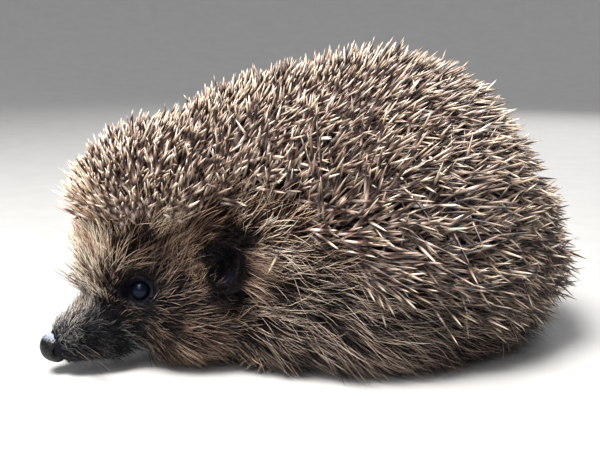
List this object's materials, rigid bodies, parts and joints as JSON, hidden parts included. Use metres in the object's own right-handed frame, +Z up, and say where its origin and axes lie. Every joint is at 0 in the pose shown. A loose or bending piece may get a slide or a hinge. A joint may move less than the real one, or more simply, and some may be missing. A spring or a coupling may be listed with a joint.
{
  "type": "european hedgehog, still model",
  "caption": "European hedgehog standing low with its snout near the floor, a still life-size model with a quilled back and crown, a furred face and skirt, and bare feet, ears and nose",
  "frame": {"origin": "on the floor, below the middle of the animal's box", "axes": "+Z up, head towards -Y, the animal's left side towards +X"},
  "size_m": [0.132, 0.223, 0.1225],
  "materials": {
    "nose_leather": "wet, finely pebbled black",
    "face_fur": "short grey-brown hair",
    "quills": "smooth banded quills, dark below cream tips",
    "bare_skin": "matt dark skin with a thin down",
    "body_fur": "coarse brown hair",
    "eye": "glossy black"
  },
  "bodies": {
    "root": {"nose": "nose_leather", "snout": "face_fur", "jaw": "face_fur", "head": "face_fur", "neck": "quills", "trunk": "quills", "tail": "bare_skin", "eye_left": "eye", "eye_right": "eye", "ear_left": "bare_skin", "ear_right": "bare_skin", "foreleg_left": "body_fur", "foreleg_right": "body_fur", "hindleg_left": "body_fur", "hindleg_right": "body_fur"}
  },
  "joints": []
}
